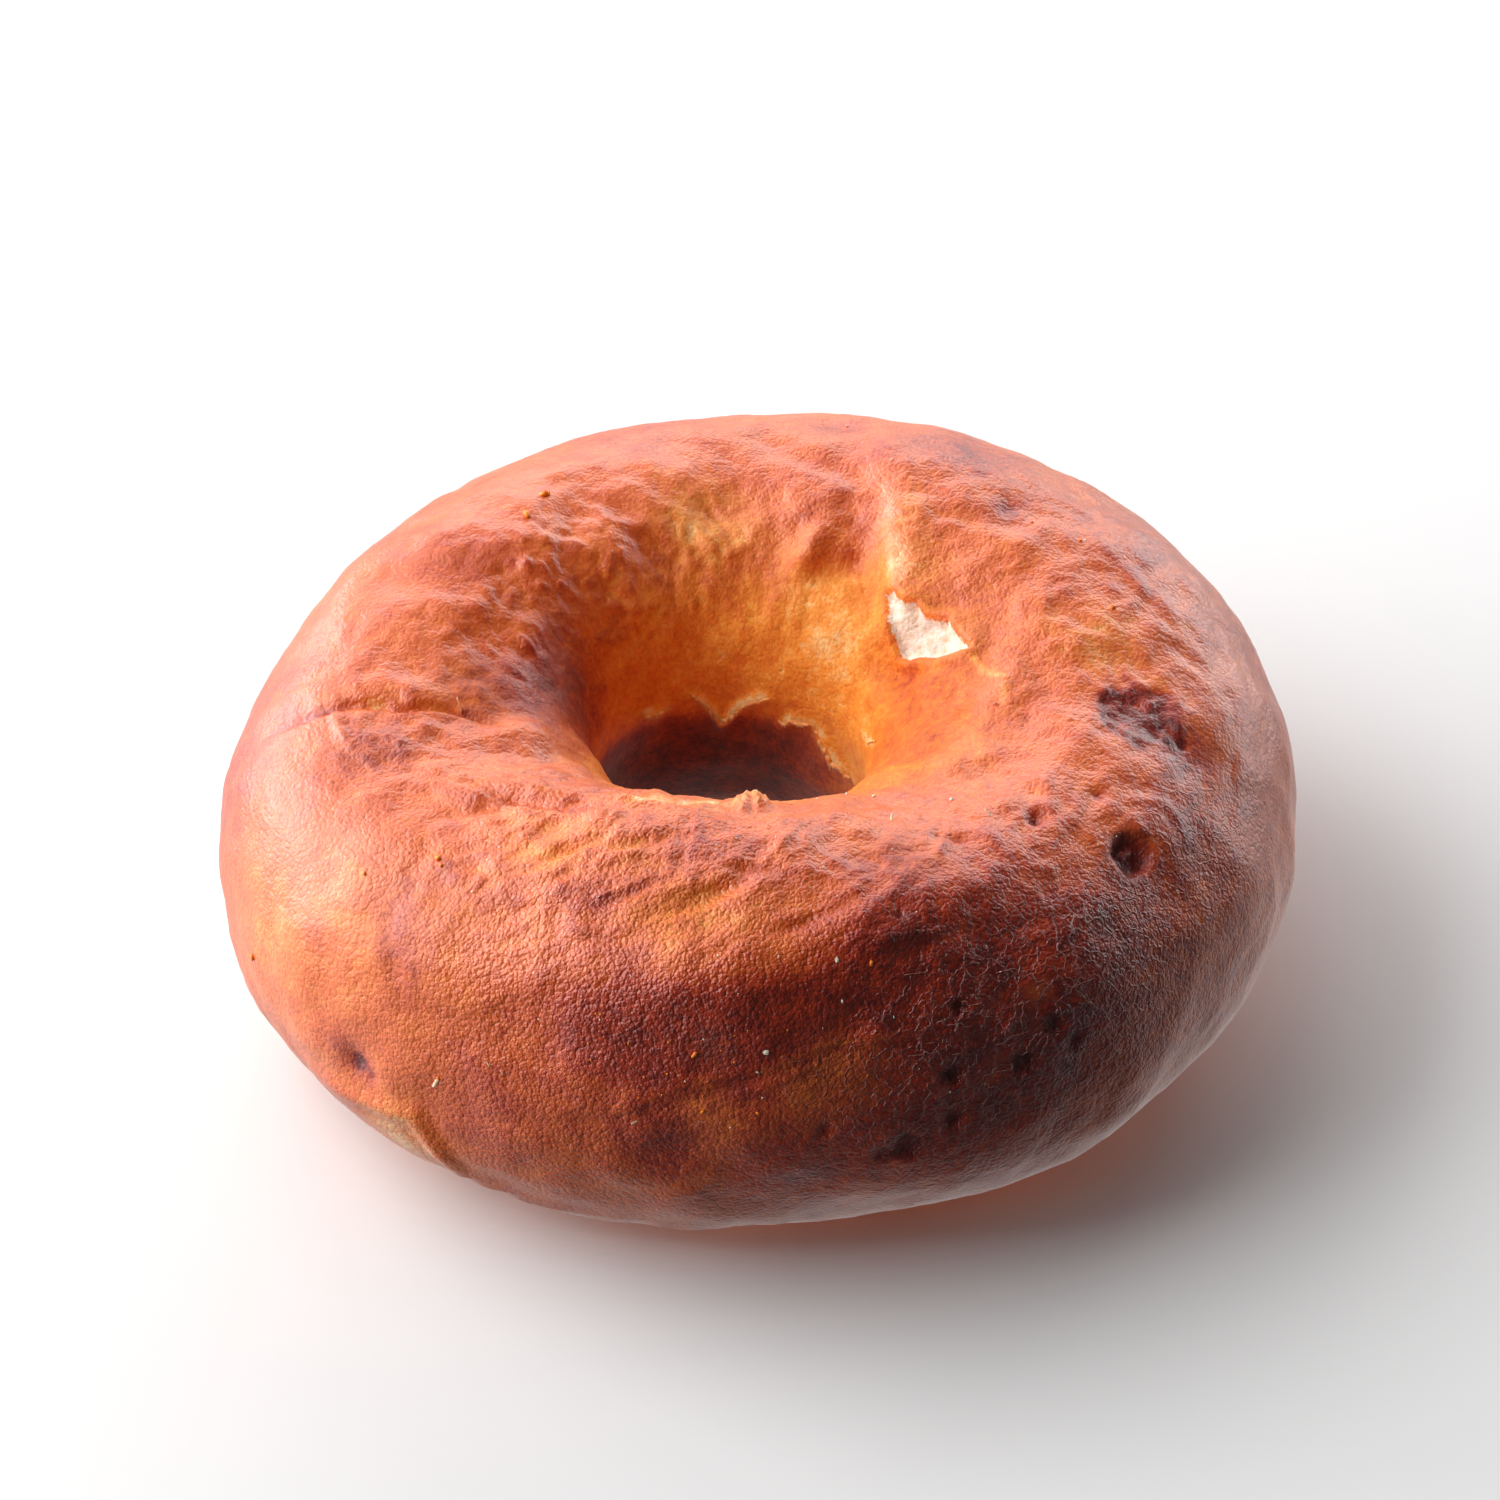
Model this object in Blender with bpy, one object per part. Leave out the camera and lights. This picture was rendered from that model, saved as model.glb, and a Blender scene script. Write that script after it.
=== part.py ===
"""A bagel: one baked ring of dough with a browned, wrinkled crust.

Metres, +Z up. The ring stands on z = 0, with the middle of its outline over the origin, and
its front is towards -Y. A place on it is given by two angles in degrees. Around is the angle
round the hole, from +X towards +Y. Over is the angle over the ring's section: 0 at the outer
side, 90 at the top, 180 in the hole and 270 underneath.
"""

import bmesh
import bpy
import numpy as np
from mathutils import Vector, noise

MM = 0.001

# The plain ring
OUTER_RADIUS = 55.0 * MM
HOLE_RADIUS = 13.6 * MM
TOP_HEIGHT = 41.7 * MM
WIDEST_HEIGHT = 20.0 * MM
NARROWEST_HEIGHT = 24.0 * MM  # where the hole is narrowest
BASE_SINK = 1.5 * MM  # what the flat base cuts off the round section
ROUNDNESS = 2.1  # 2 is an ellipse, and more is squarer
RING_CENTRE = (-2.98 * MM, -1.34 * MM)

# How the hand-shaped ring strays from a true one: (waves in a turn, size, angle of a crest)
OUTER_WAVES = ((1, 3.14 * MM, 2), (2, 1.9 * MM, 22), (3, 0.97 * MM, -32), (4, 0.17 * MM, 27), (5, 0.14 * MM, 0))
HOLE_WAVES = ((1, 0.62 * MM, -132), (2, 0.82 * MM, -24), (3, 0.46 * MM, 30))
TOP_WAVES = ((1, 0.19 * MM, 146), (2, 0.86 * MM, 86), (3, 1.36 * MM, 32))

# Unevenness of the crust: (size of one swelling, height, where the noise starts)
SWELLINGS = ((24 * MM, 0.9 * MM, 3.0), (9 * MM, 0.5 * MM, 11.0))
WRINKLES = (5.5 * MM, 0.7 * MM, 27.0)
WRINKLED_OVER = 122  # the wrinkles are deepest on the funnel into the hole
WRINKLED_SPREAD = 48

# Round hollows and lumps: (around, over, radius, height)
SPOTS = (
    (350, 75.5, 4.4 * MM, -1.1 * MM),  # collapsed blister
    (346.5, 61, 3.0 * MM, -0.5 * MM),
    (325.8, 57, 2.3 * MM, -1.5 * MM),  # burst bubble
    (332, 58, 3.4 * MM, 0.7 * MM),  # and the one beside it, still whole
    (320.8, 80.5, 1.6 * MM, -0.6 * MM),
    (38.2, 87, 2.8 * MM, -0.7 * MM),
    (73, 70, 2.6 * MM, -0.7 * MM),
    (226.5, 0, 2.4 * MM, -0.5 * MM),
    (128.5, 122, 3.2 * MM, 0.8 * MM),
    (122.5, 139, 2.6 * MM, 0.7 * MM),
    (270, 118, 2.0 * MM, 1.9 * MM),  # torn nub on the hole's near rim
    (205, 121, 3.4 * MM, 1.2 * MM),
    (17, 147, 3.4 * MM, -0.9 * MM),  # hollow below the torn patch
)

# Creases and, where the height is above 0, folds: (half width, height, route of (around, over) points)
CREASES = (
    (1.5 * MM, -1.5 * MM, ((188, 43), (189, 58), (190, 71), (191, 80), (193, 94), (196, 104), (202, 126))),
    (1.4 * MM, 0.6 * MM, ((184, 42), (184, 55), (185, 66), (186, 78))),
    (1.8 * MM, -0.8 * MM, ((236, 0), (245, 1), (258, 6), (268, 15), (277, 26), (284, 29), (297, 27), (302, 21))),
    (1.4 * MM, -0.6 * MM, ((220, 76), (222, 84), (228, 96), (236, 99), (243, 102))),
    (1.3 * MM, -0.6 * MM, ((260, 67), (266, 71), (271, 76), (274, 84))),
    (1.2 * MM, -0.5 * MM, ((221, 74), (226, 58), (226, 46), (229, 36), (232, 24))),
    (2.0 * MM, -1.2 * MM, ((54, 122), (60, 134), (66, 147))),  # on the hole's far side
    (2.0 * MM, 1.0 * MM, ((66, 118), (70, 130), (75, 146))),
    (1.5 * MM, -0.5 * MM, ((87, 80), (78, 89), (69, 94), (62, 98))),
)

# The dough's end laps over its start along this route, and the lap fades away from it
LAP_ROUTE = ((71, 72), (61, 95), (53, 107), (52, 114), (44, 124), (40, 129), (31, 137), (23, 142))
LAP_HEIGHT = 2.2 * MM
LAP_EDGE = 1.0 * MM  # width of its step
LAP_FADE = 9.0 * MM

# The crust has torn off between these corners, and the crumb shows
TORN_CORNERS = ((43, 128), (7, 119), (22, 144))
TORN_DEPTH = 1.3 * MM
TORN_EDGE = 0.5 * MM
TORN_REACH = 8 * MM

# The crust ends in a low rim above the pale base: (around, over) points
BASE_RIM = ((216, 344), (226, 348), (234, 352), (236, 342), (238, 328), (244, 320), (258, 316), (276, 315))
BASE_RIM_HEIGHT = 0.7 * MM
BASE_RIM_WIDTH = 1.5 * MM

STEPS_AROUND = 104
STEPS_OVER = 52
SHARPEST_EDGE = 60  # degrees

CRUST_COLOUR = (0.50, 0.14, 0.045, 1.0)
CRUST_ROUGHNESS = 0.42


def wave_sum(waves, around):
    return sum(size * np.cos(count * (around - np.radians(crest))) for count, size, crest in waves)


def rounded(wave):
    """Turns a cosine or sine into one of the section's slightly squared shape."""
    return np.sign(wave) * np.abs(wave) ** (2 / ROUNDNESS)


def plain_ring(around, over):
    """Points of the ring without its relief, for angles in radians."""
    outer = OUTER_RADIUS + wave_sum(OUTER_WAVES, around)
    hole = HOLE_RADIUS + wave_sum(HOLE_WAVES, around)
    top = TOP_HEIGHT + wave_sum(TOP_WAVES, around)
    out, up = rounded(np.cos(over)), rounded(np.sin(over))
    radius = (outer + hole) / 2 + (outer - hole) / 2 * out
    middle = WIDEST_HEIGHT + (NARROWEST_HEIGHT - WIDEST_HEIGHT) * (1 - np.cos(over)) / 2
    height = middle + np.where(up > 0, top - middle, middle + BASE_SINK) * up
    x = RING_CENTRE[0] + radius * np.cos(around)
    y = RING_CENTRE[1] + radius * np.sin(around)
    return np.stack(np.broadcast_arrays(x, y, height), axis=-1)


def ring_normals(around, over, step=1e-3):
    along = plain_ring(around + step, over) - plain_ring(around - step, over)
    across = plain_ring(around, over + step) - plain_ring(around, over - step)
    normals = np.cross(along, across)
    return normals / np.linalg.norm(normals, axis=-1, keepdims=True)


def places(route):
    """Points on the plain ring for (around, over) pairs in degrees."""
    angles = np.radians(np.array(route, float))
    return plain_ring(angles[:, 0], angles[:, 1])


def bump(distance, radius):
    """1 at the middle, falling smoothly to 0 at 2 radii."""
    share = np.clip(distance / (2 * radius), 0, 1)
    return (1 - share**2) ** 3


def noise_at(points, size, start, octaves=3):
    return np.array([noise.fractal(Vector(p), 1.0, 2.0, octaves) for p in points / size + start])


def route_distance(points, normals, route):
    """How far each point lies from a route, how far to its left, and what share along it."""
    stops = places(route)
    nearest = np.full(len(points), np.inf)
    side = np.zeros(len(points))
    share = np.zeros(len(points))
    for index, (start, end) in enumerate(zip(stops[:-1], stops[1:])):
        run = end - start
        part = np.clip((points - start) @ run / (run @ run), 0, 1)
        apart = points - start - part[:, None] * run
        distance = np.linalg.norm(apart, axis=1)
        closer = distance < nearest
        leftward = (np.cross(normals, run / np.linalg.norm(run)) * apart).sum(axis=1)
        nearest = np.where(closer, distance, nearest)
        side = np.where(closer, leftward, side)
        share = np.where(closer, (index + part) / (len(stops) - 1), share)
    return nearest, side, share


def ends_faded(share):
    return np.sin(np.pi * np.clip(share, 0.02, 0.98)) ** 0.5


def lap_relief(points, normals):
    distance, side, share = route_distance(points, normals, LAP_ROUTE)
    step = np.tanh(side / LAP_EDGE) / 2
    return LAP_HEIGHT * step * bump(distance, LAP_FADE / 2) * ends_faded(share)


def torn_depth(points, normals):
    """1 inside the torn patch and 0 outside, in its own plane."""
    corners = places(TORN_CORNERS)
    middle = corners.mean(axis=0)
    inside = np.full(len(points), np.inf)
    for start, end in zip(corners, np.roll(corners, -1, axis=0)):
        run = (end - start) / np.linalg.norm(end - start)
        inward = (middle - start) - ((middle - start) @ run) * run
        inward /= np.linalg.norm(inward)
        inside = np.minimum(inside, (points - start) @ inward)
    near = np.linalg.norm(points - middle, axis=1) < TORN_REACH
    return np.where(near, 0.5 + 0.5 * np.tanh(inside / TORN_EDGE), 0)


def relief(points, normals, over):
    """Height of the crust's relief over the plain ring."""
    height = sum(tall * noise_at(points, size, start) for size, tall, start in SWELLINGS)
    size, tall, start = WRINKLES
    funnel = np.exp(-(((np.degrees(over) - WRINKLED_OVER) / WRINKLED_SPREAD) ** 2))
    height += tall * (0.25 + funnel) * noise_at(points, size, start)
    for around, spot_over, radius, tall in SPOTS:
        distance = np.linalg.norm(points - places([(around, spot_over)])[0], axis=1)
        height += tall * bump(distance, radius)
    for width, tall, route in CREASES:
        distance, _, share = route_distance(points, normals, route)
        height += tall * bump(distance, width) * ends_faded(share)
    distance, _, share = route_distance(points, normals, BASE_RIM)
    height += BASE_RIM_HEIGHT * bump(distance, BASE_RIM_WIDTH) * ends_faded(share)
    height += lap_relief(points, normals)
    return height - TORN_DEPTH * torn_depth(points, normals)


def ring_mesh():
    turns = np.linspace(0, 2 * np.pi, STEPS_AROUND, endpoint=False)
    rounds = np.linspace(0, 2 * np.pi, STEPS_OVER, endpoint=False)
    around, over = (grid.ravel() for grid in np.meshgrid(turns, rounds, indexing="ij"))
    points, normals = plain_ring(around, over), ring_normals(around, over)
    points = points + normals * relief(points, normals, over)[:, None]
    points[:, 2] = np.maximum(points[:, 2], 0)  # the flat base that it was baked on

    built = bmesh.new()
    verts = [built.verts.new(p) for p in points]
    for i in range(STEPS_AROUND):
        for j in range(STEPS_OVER):
            i2, j2 = (i + 1) % STEPS_AROUND, (j + 1) % STEPS_OVER
            quad = ((i, j), (i2, j), (i2, j2), (i, j2))
            built.faces.new([verts[a * STEPS_OVER + b] for a, b in quad])
    bmesh.ops.triangulate(built, faces=built.faces[:], quad_method="SHORT_EDGE")
    bmesh.ops.recalc_face_normals(built, faces=built.faces[:])
    mesh = bpy.data.meshes.new("bagel")
    built.to_mesh(mesh)
    built.free()
    mesh.shade_smooth()
    mesh.set_sharp_from_angle(angle=np.radians(SHARPEST_EDGE))
    return mesh


def crust_material():
    material = bpy.data.materials.new("crust")
    material.use_nodes = True
    shader = material.node_tree.nodes["Principled BSDF"]
    shader.inputs["Base Color"].default_value = CRUST_COLOUR
    shader.inputs["Roughness"].default_value = CRUST_ROUGHNESS
    shader.inputs["Metallic"].default_value = 0.0
    return material


def main():
    for old in list(bpy.data.objects):
        bpy.data.objects.remove(old)
    bagel = bpy.data.objects.new("bagel", ring_mesh())
    bagel.data.materials.append(crust_material())
    bpy.context.scene.collection.objects.link(bagel)


main()
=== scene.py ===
"""The looks of a bagel: its fine crust, the crumb where the crust has torn, specks, floor, lights and camera.

Metres, +Z up, with the front towards -Y. A place on the ring is given by two angles in degrees.
Around is the angle round the hole, from +X towards +Y. Over is the angle over the ring's section:
0 at the outer side, 90 at the top, 180 in the hole and 270 underneath.
"""

import bmesh
import bpy
import numpy as np
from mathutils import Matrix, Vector, noise


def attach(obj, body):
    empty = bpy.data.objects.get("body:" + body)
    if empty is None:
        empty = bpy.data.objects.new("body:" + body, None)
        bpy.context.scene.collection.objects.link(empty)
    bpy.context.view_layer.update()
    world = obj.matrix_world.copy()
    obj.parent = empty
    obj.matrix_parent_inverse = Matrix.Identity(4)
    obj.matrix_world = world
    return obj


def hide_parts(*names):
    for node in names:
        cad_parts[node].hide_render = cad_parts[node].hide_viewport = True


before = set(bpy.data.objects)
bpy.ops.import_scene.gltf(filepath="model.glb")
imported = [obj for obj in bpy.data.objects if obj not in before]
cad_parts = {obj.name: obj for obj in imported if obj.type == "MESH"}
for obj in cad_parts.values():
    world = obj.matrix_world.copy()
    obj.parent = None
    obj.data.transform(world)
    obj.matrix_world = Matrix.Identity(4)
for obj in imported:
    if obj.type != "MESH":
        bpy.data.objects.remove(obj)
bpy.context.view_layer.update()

MM = 0.001
SEED = 7

# The plain ring, as the solid has it
OUTER_RADIUS = 55.0 * MM
HOLE_RADIUS = 13.6 * MM
TOP_HEIGHT = 41.7 * MM
WIDEST_HEIGHT = 20.0 * MM
NARROWEST_HEIGHT = 24.0 * MM  # where the hole is narrowest
BASE_SINK = 1.5 * MM  # what the flat base cuts off the round section
ROUNDNESS = 2.1  # 2 is an ellipse, and more is squarer
RING_CENTRE = (-2.98 * MM, -1.34 * MM)
SECTION_RADIUS = 21 * MM
RING_MIDDLE = 34 * MM  # from the axis to the middle of the dough

# How the hand-shaped ring strays from a true one: (waves in a turn, size, angle of a crest)
OUTER_WAVES = ((1, 3.14 * MM, 2), (2, 1.9 * MM, 22), (3, 0.97 * MM, -32), (4, 0.17 * MM, 27), (5, 0.14 * MM, 0))
HOLE_WAVES = ((1, 0.62 * MM, -132), (2, 0.82 * MM, -24), (3, 0.46 * MM, 30))
TOP_WAVES = ((1, 0.19 * MM, 146), (2, 0.86 * MM, 86), (3, 1.36 * MM, 32))

# Unevenness of the crust: (size of one swelling, height, where the noise starts)
SWELLINGS = ((24 * MM, 0.9 * MM, 3.0), (9 * MM, 0.3 * MM, 11.0))
WRINKLES = (5.5 * MM, 0.5 * MM, 27.0)
WRINKLED_LEAST = 0.12
WRINKLED_OVER = 122  # the wrinkles are deepest on the funnel into the hole
WRINKLED_SPREAD = 48

# Round hollows and lumps: (around, over, radius, height)
SPOTS = (
    (350, 75.5, 4.2 * MM, -0.7 * MM),  # collapsed blister
    (346.5, 61, 3.0 * MM, -0.4 * MM),
    (332, 58, 3.4 * MM, 0.7 * MM),  # bubble beside the burst one
    (320.8, 80.5, 1.2 * MM, -0.6 * MM),
    (331.5, 74.5, 0.8 * MM, -0.4 * MM),
    (38.2, 87, 2.8 * MM, -0.4 * MM),
    (73, 70, 2.6 * MM, -0.7 * MM),
    (226.5, 0, 2.0 * MM, -0.5 * MM),
    (128.5, 122, 3.2 * MM, 0.8 * MM),
    (122.5, 139, 2.6 * MM, 0.7 * MM),
    (205, 121, 3.4 * MM, 1.2 * MM),
    (17, 147, 3.4 * MM, -0.9 * MM),  # hollow below the torn patch
)

# Creases and, where the height is above 0, folds: (half width, height, route of (around, over) points)
CREASES = (
    (0.4 * MM, -0.8 * MM, ((187, 43), (189, 58), (190, 69), (190, 75), (191, 84), (193, 89), (193, 96), (194, 104),
                           (196, 110), (202, 118))),
    (1.6 * MM, 0.4 * MM, ((183, 42), (184, 55), (186, 66), (187, 76), (189, 92), (190, 106), (194, 116))),
    (0.8 * MM, -0.15 * MM, ((236, 0), (245, 1), (258, 8), (268, 17), (277, 26), (284, 29), (297, 27), (302, 21))),
    (1.2 * MM, -0.6 * MM, ((220, 76), (222, 84), (228, 96), (236, 99), (243, 102))),
    (1.0 * MM, -0.7 * MM, ((260, 67), (266, 71), (271, 76), (274, 84))),
    (1.0 * MM, -0.3 * MM, ((221, 74), (226, 58), (226, 46), (229, 36), (232, 24))),
    (1.7 * MM, -1.0 * MM, ((53, 119), (58, 127), (63, 135))),
    (1.3 * MM, 0.9 * MM, ((66, 113), (68, 122), (71, 134))),
    (1.5 * MM, -0.5 * MM, ((87, 80), (78, 89), (69, 94), (62, 98))),
    (4.0 * MM, 1.0 * MM, ((228, 41), (245, 40), (259, 46), (276, 51), (289, 59), (301, 66), (316, 64))),
)

# The dough's end laps over its start along this route, and the lap fades away from it
LAP_ROUTE = ((71, 72), (61, 95), (53, 107), (52, 114), (44, 124), (40, 129), (31, 137), (23, 142))
LAP_HEIGHT = 2.2 * MM
LAP_EDGES = (3.2 * MM, 0.9 * MM)  # width of its step, at both ends of the route
LAP_FADE = 9.0 * MM

# Where the crust has torn off and the crumb shows
TORN_OUTLINE = (
    (40.2, 129), (37, 128), (32.5, 128.5), (29, 126.5), (24.8, 127), (21.2, 124.5), (20.2, 122), (16, 122),
    (11.2, 120.5), (8.2, 119.5), (9, 123), (10.8, 127), (13.5, 131.5), (16.2, 134.5), (18, 136.5),
    (19.5, 140), (23.2, 141.5), (31.5, 136.5),
)
TORN_MIDDLE = (20, 131)
TORN_DEPTH = 1.2 * MM
TORN_EDGE = 0.25 * MM
TORN_REACH = 9 * MM

TORN_LIP = 0.35 * MM  # how far the crust curls up round it
TORN_LIP_WIDTH = 0.6 * MM

# A collapsed blister with an uneven edge and folds inside
BLISTER = (350, 75)
BLISTER_RADIUS = 4.2 * MM
BLISTER_DEPTH = 0.1 * MM
BLISTER_EDGE = 0.35 * MM

# Bubbles that have burst leave steep-sided pits: (around, over, radius, depth, how much painted shade darkens the
# inside)
PITS = (
    (326, 56.5, 2.1 * MM, 1.2 * MM, 0.26),
    (320, 80, 0.6 * MM, 0.6 * MM, 0.30),
    (331, 75, 0.5 * MM, 0.4 * MM, 0.20),
    (345, 102, 0.5 * MM, 0.3 * MM, 0.10),
    (292, 63, 0.4 * MM, 0.4 * MM, 0.20),
    (296, 36, 0.6 * MM, 0.7 * MM, 0.16),
    (306, 24, 1.0 * MM, 0.5 * MM, 0.12),
    (302, 16, 1.1 * MM, 0.7 * MM, 0.14),
    (294, 17, 0.9 * MM, 0.6 * MM, 0.14),
    (308, 18, 0.8 * MM, 0.4 * MM, 0.12),
    (294, 4, 0.9 * MM, 0.5 * MM, 0.12),
    (289, 359, 1.5 * MM, 0.7 * MM, 0.16),
    (286.5, 357.5, 0.9 * MM, 0.5 * MM, 0.14),
    (280, 7, 0.8 * MM, 0.4 * MM, 0.14),
    (226.5, 0, 1.0 * MM, 0.3 * MM, 0.26),
    (228.5, 358, 0.7 * MM, 0.3 * MM, 0.22),
    (38, 86, 1.1 * MM, 0.25 * MM, 0.08),
    (47, 81, 0.8 * MM, 0.2 * MM, 0.08),
)
PIT_EDGE = 0.3 * MM

# The torn nub on the hole's near rim
NUB = (275, 118)
NUB_RADIUS = 1.9 * MM
NUB_HEIGHT = 1.2 * MM

# The hole's wall is golden from this angle over the section on, and higher up at the right
GOLDEN_FROM = 126
GOLDEN_LEAN = 8
GOLDEN_EDGE = 12

# Golden patches outside the hole: (around, over, radius, amount)
GOLDEN_ZONES = (
    (188, 112, 4.0 * MM, 0.7),
    (42, 117, 3.0 * MM, -0.5),
    (296, 82, 4.0 * MM, 0.4),
    (342, 122, 6.0 * MM, 0.3),
    (262, 66, 4.0 * MM, 0.5),
    (240, 80, 4.0 * MM, 0.4),
    (232, 60, 4.0 * MM, 0.3),
    (226, 40, 5.0 * MM, 0.4),
    (234, 28, 4.0 * MM, 0.3),
    (268, 30, 2.0 * MM, 0.5),
    (280, 22, 4.0 * MM, 0.6),
    (268, 11, 4.0 * MM, 0.5),
    (98, 112, 5.0 * MM, 0.4),
)

# The crust ends in a low rim above the pale base: (around, over) points
BASE_RIM = ((216, 344), (226, 348), (234, 352), (236, 342), (238, 328), (244, 320), (258, 316), (276, 315))
BASE_RIM_HEIGHT = 0.7 * MM
BASE_RIM_WIDTH = 1.2 * MM

# Fine raised lines of skin: (half width, height, route)
RIDGES = (
    (0.45 * MM, 0.3 * MM, ((331, 68), (334, 66), (336, 59), (335, 53), (333, 47))),
    (0.35 * MM, 0.25 * MM, ((331, 65), (328.5, 56), (327.5, 50))),
    (0.35 * MM, 0.22 * MM, ((256, 9), (265, 20), (272, 24), (276, 26), (281, 30), (286, 31), (293, 30), (302, 27))),
    (0.35 * MM, 0.22 * MM, ((262, 9), (269, 16), (275, 21), (280, 26), (284, 28.5), (291, 27.5))),
    (0.5 * MM, -0.5 * MM, ((249, 67), (252, 66), (256, 71), (259, 76))),
    (0.5 * MM, -0.45 * MM, ((276, 60), (280, 63), (286, 68))),
    (0.6 * MM, -0.5 * MM, ((240, 76), (243, 82), (248, 87))),
    (0.5 * MM, 0.35 * MM, ((24, 146), (10, 132), (4, 119))),
    (0.5 * MM, 0.4 * MM, ((190, 70), (194, 71), (201, 73))),
    (0.5 * MM, 0.4 * MM, ((207, 87), (214, 93), (221, 98), (231, 103), (241, 107), (253, 108), (262, 104))),
    (0.5 * MM, -0.4 * MM, ((211, 92), (221, 95), (229, 97), (241, 100), (253, 103))),
    (0.4 * MM, 0.35 * MM, ((212, 87), (219, 91), (229, 93), (241, 96), (253, 98))),
    (1.2 * MM, -0.8 * MM, ((28, 151), (21, 147), (14, 141), (10, 134))),
    (0.35 * MM, 0.3 * MM, ((7, 120), (0, 116), (356, 110), (347, 109))),
    (0.5 * MM, -0.35 * MM, ((264, 86), (268, 83), (274, 82), (280, 79))),
    (0.5 * MM, -0.35 * MM, ((300, 92), (305, 88), (309, 82))),
    (0.6 * MM, -0.5 * MM, ((97, 106), (93, 114), (90, 122))),
    (0.7 * MM, 0.5 * MM, ((104, 108), (99, 116), (95, 127))),
    (0.6 * MM, 0.6 * MM, ((133, 178.5), (127, 180), (119, 179))),
    (0.6 * MM, 0.7 * MM, ((108, 177), (101, 181), (95, 186), (86, 180), (78, 177), (70, 175.5))),
    (0.7 * MM, 0.6 * MM, ((66, 184), (58, 181), (50, 181))),
    (1.0 * MM, 0.6 * MM, ((46, 182), (40, 185), (34, 188), (24, 189))),
)

# Where the crust is puckered in short wrinkles, where it is crinkled like a walnut, and where it is
# rougher or, below 0, smoother to the touch: (around, over, radius, amount)
PUCKERED = (
    (255, 86, 12 * MM, 0.9),
    (282, 80, 11 * MM, 0.8),
    (228, 96, 8 * MM, 0.9),
    (240, 68, 9 * MM, 0.7),
    (203, 84, 8 * MM, 0.8),
    (185, 80, 9 * MM, 0.5),
    (330, 90, 12 * MM, 0.5),
    (308, 74, 12 * MM, 0.7),
    (8, 88, 12 * MM, 0.6),
    (40, 78, 12 * MM, 0.6),
    (345, 45, 14 * MM, 0.4),
    (10, 52, 14 * MM, 0.5),
    (60, 108, 9 * MM, 0.6),
    (300, 20, 14 * MM, 0.5),
)
CRINKLED = (
    (125, 128, 8 * MM, 1.0),
    (146, 120, 7 * MM, 0.9),
    (100, 118, 6 * MM, 0.7),
    (80, 112, 6 * MM, 0.5),
    (163, 131, 6 * MM, 0.5),
    (203, 85, 6 * MM, 0.4),
    (178, 116, 6 * MM, 0.4),
    (190, 108, 5 * MM, 0.3),
)
ROUGHENED = (
    (140, 70, 26 * MM, -0.30),
    (208, 25, 12 * MM, -0.10),
    (255, 42, 18 * MM, 0.40),
    (258, 85, 14 * MM, 0.25),
    (300, 50, 16 * MM, 0.30),
    (335, 55, 10 * MM, -0.10),
    (300, 15, 16 * MM, 0.30),
    (300, 82, 10 * MM, -0.20),
    (355, 40, 14 * MM, -0.25),
    (25, 60, 14 * MM, -0.15),
)
PLAIN_ROUGHNESS = 0.6

# Where a net of thin curled ridges of skin covers the crust
NETTED = (
    (305, 32, 9 * MM, 1.0),
    (296, 14, 9 * MM, 0.9),
    (312, 16, 8 * MM, 0.7),
    (320, 42, 8 * MM, 0.6),
    (336, 50, 6 * MM, 0.6),
    (284, 10, 7 * MM, 0.6),
    (290, 36, 7 * MM, 0.4),
)

COLUMNS = 500
ROWS = 196
FRONT = 270
FRONT_CROWDING = 0.32  # how much closer the columns stand in front than they would evenly
SPARSE_FROM, SPARSE_TO = 203, 337  # the underside needs fewer rows
SPARSE_SHARE = 0.3
WRINKLE_SLANT = 0.45  # in front the wrinkles rise to the right by this much

# How bright the room is, and the floor that the crust reflects in front, behind and at the left
ROOM_LIGHT = 0.05
FLOOR_FRONT = 0.04
FLOOR_BACK = 0.75
FLOOR_LEFT = 1.1

CAMERA_ELEVATION = 39.8
CAMERA_DISTANCE = 560 * MM
CAMERA_AIM = (-1.08 * MM, 8.26 * MM, 20 * MM)
CAMERA_LENS = 125.3
CAMERA_SENSOR = 36


def wave_sum(waves, around):
    return sum(size * np.cos(count * (around - np.radians(crest))) for count, size, crest in waves)


def rounded(wave):
    """Turns a cosine or sine into one of the section's slightly squared shape."""
    return np.sign(wave) * np.abs(wave) ** (2 / ROUNDNESS)


def plain_ring(around, over):
    """Points of the ring without its relief, for angles in radians."""
    outer = OUTER_RADIUS + wave_sum(OUTER_WAVES, around)
    hole = HOLE_RADIUS + wave_sum(HOLE_WAVES, around)
    top = TOP_HEIGHT + wave_sum(TOP_WAVES, around)
    out, up = rounded(np.cos(over)), rounded(np.sin(over))
    radius = (outer + hole) / 2 + (outer - hole) / 2 * out
    middle = WIDEST_HEIGHT + (NARROWEST_HEIGHT - WIDEST_HEIGHT) * (1 - np.cos(over)) / 2
    height = middle + np.where(up > 0, top - middle, middle + BASE_SINK) * up
    x = RING_CENTRE[0] + radius * np.cos(around)
    y = RING_CENTRE[1] + radius * np.sin(around)
    return np.stack(np.broadcast_arrays(x, y, height), axis=-1)


def ring_normals(around, over, step=1e-3):
    along = plain_ring(around + step, over) - plain_ring(around - step, over)
    across = plain_ring(around, over + step) - plain_ring(around, over - step)
    normals = np.cross(along, across)
    return normals / np.linalg.norm(normals, axis=-1, keepdims=True)


def places(route):
    """Points on the plain ring for (around, over) pairs in degrees."""
    angles = np.radians(np.array(route, float))
    return plain_ring(angles[:, 0], angles[:, 1])


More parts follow.
